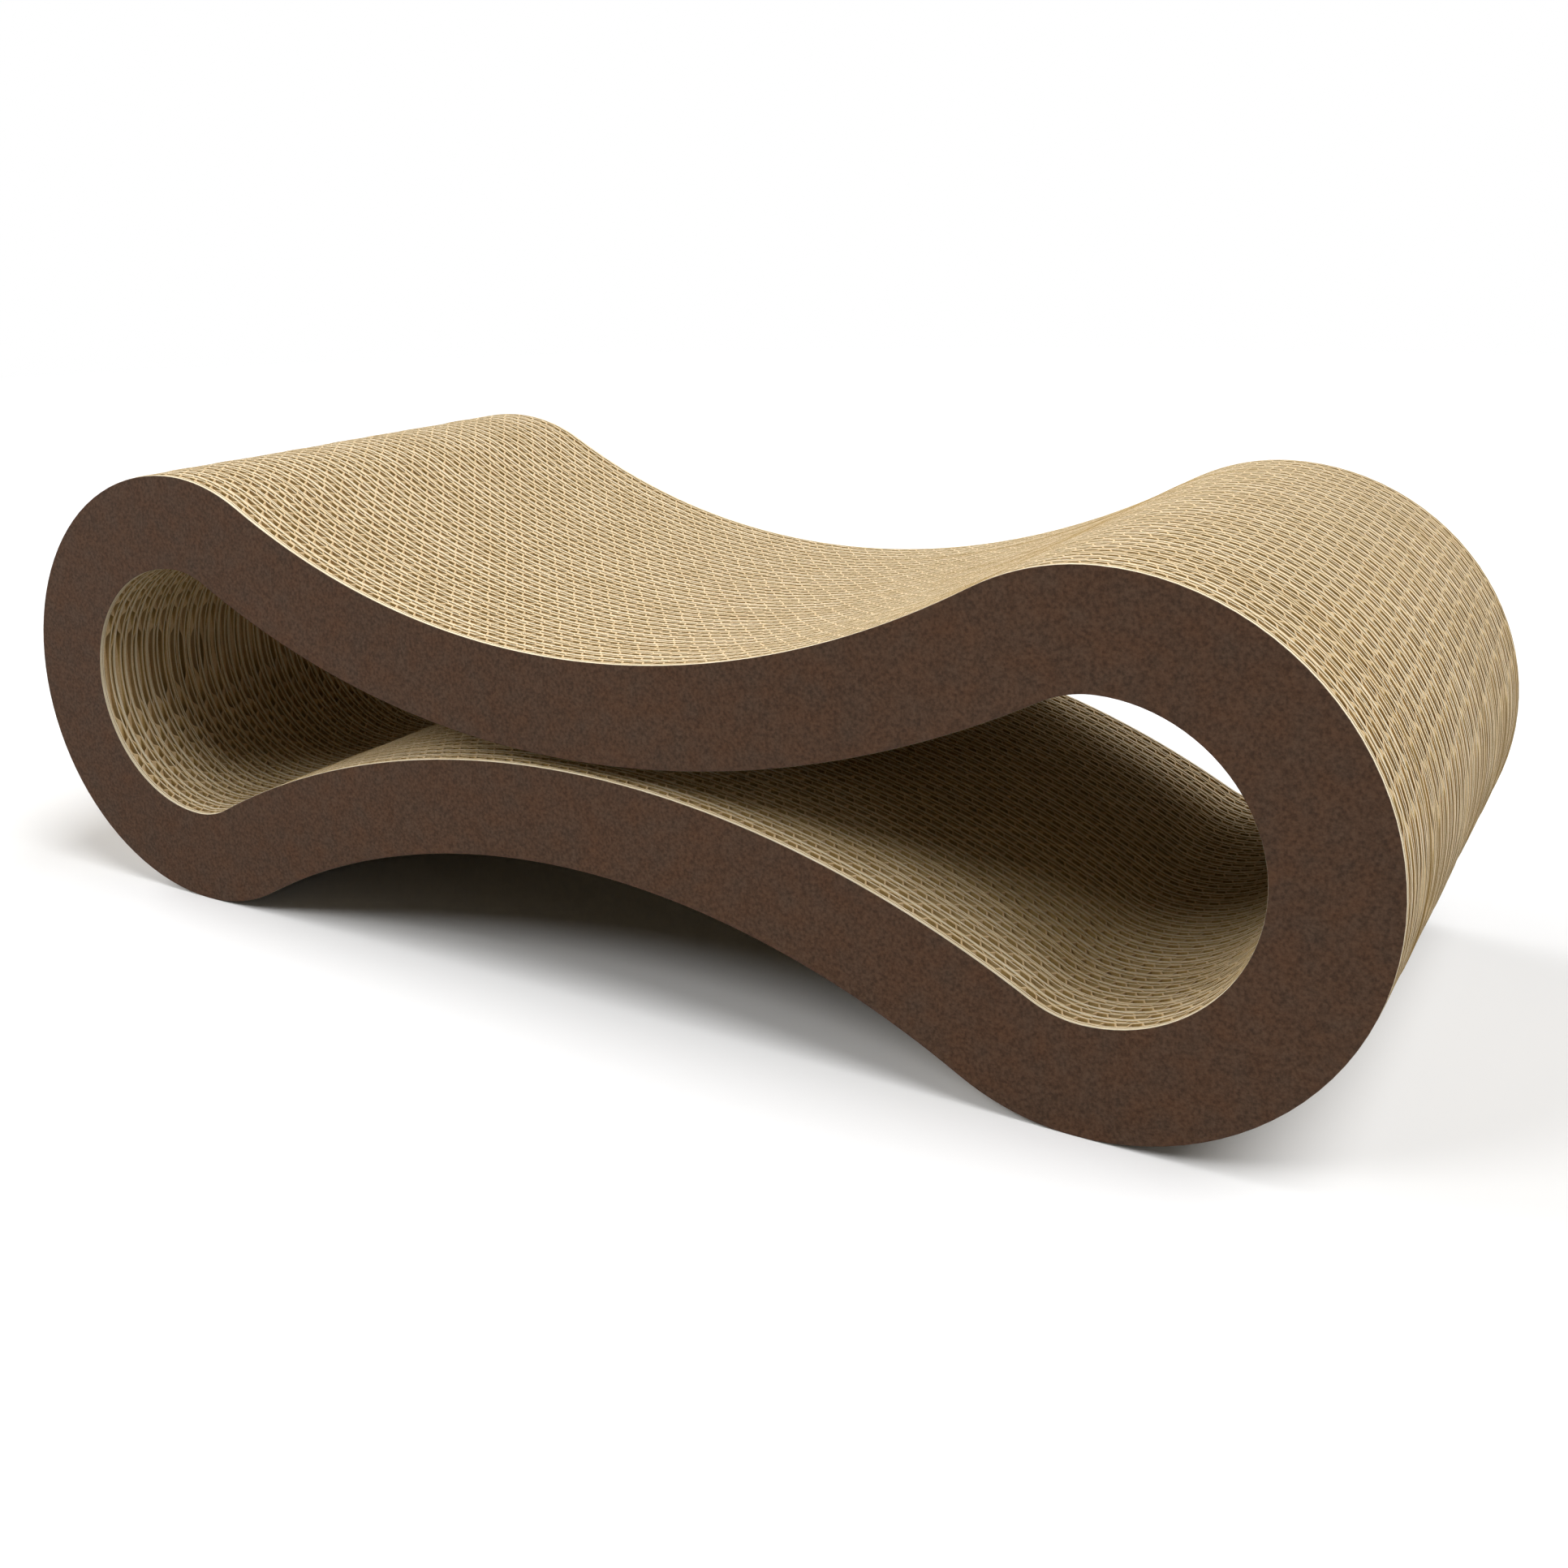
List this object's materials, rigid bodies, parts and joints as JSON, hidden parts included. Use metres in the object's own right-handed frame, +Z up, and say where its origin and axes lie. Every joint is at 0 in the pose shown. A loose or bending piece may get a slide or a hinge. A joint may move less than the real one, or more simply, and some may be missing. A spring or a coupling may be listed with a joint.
{
  "type": "cat scratcher",
  "caption": "Lounge-shaped cat scratcher: a waisted closed ring of stacked corrugated boards with open lobes, between flat side panels.",
  "frame": {"origin": "on the floor under the middle of the ring", "axes": "+X along the length, +Y across the boards towards the back panel, +Z up"},
  "size_m": [0.6, 0.2386, 0.192],
  "materials": {
    "kraft_board": "matt cut edges of kraft corrugated board",
    "brown_panel": "matt dark brown paper with a fine mottled grain"
  },
  "bodies": {
    "root": {"side_panel_front": "brown_panel", "side_panel_back": "brown_panel", "board_01": "kraft_board", "board_02": "kraft_board", "board_03": "kraft_board", "board_04": "kraft_board", "board_05": "kraft_board", "board_06": "kraft_board", "board_07": "kraft_board", "board_08": "kraft_board", "board_09": "kraft_board", "board_10": "kraft_board", "board_11": "kraft_board", "board_12": "kraft_board", "board_13": "kraft_board", "board_14": "kraft_board", "board_15": "kraft_board", "board_16": "kraft_board", "board_17": "kraft_board", "board_18": "kraft_board", "board_19": "kraft_board", "board_20": "kraft_board", "board_21": "kraft_board", "board_22": "kraft_board", "board_23": "kraft_board", "board_24": "kraft_board", "board_25": "kraft_board", "board_26": "kraft_board", "board_27": "kraft_board", "board_28": "kraft_board", "board_29": "kraft_board", "board_30": "kraft_board", "board_31": "kraft_board", "board_32": "kraft_board", "board_33": "kraft_board", "board_34": "kraft_board", "board_35": "kraft_board", "board_36": "kraft_board", "board_37": "kraft_board", "board_38": "kraft_board"}
  },
  "joints": []
}
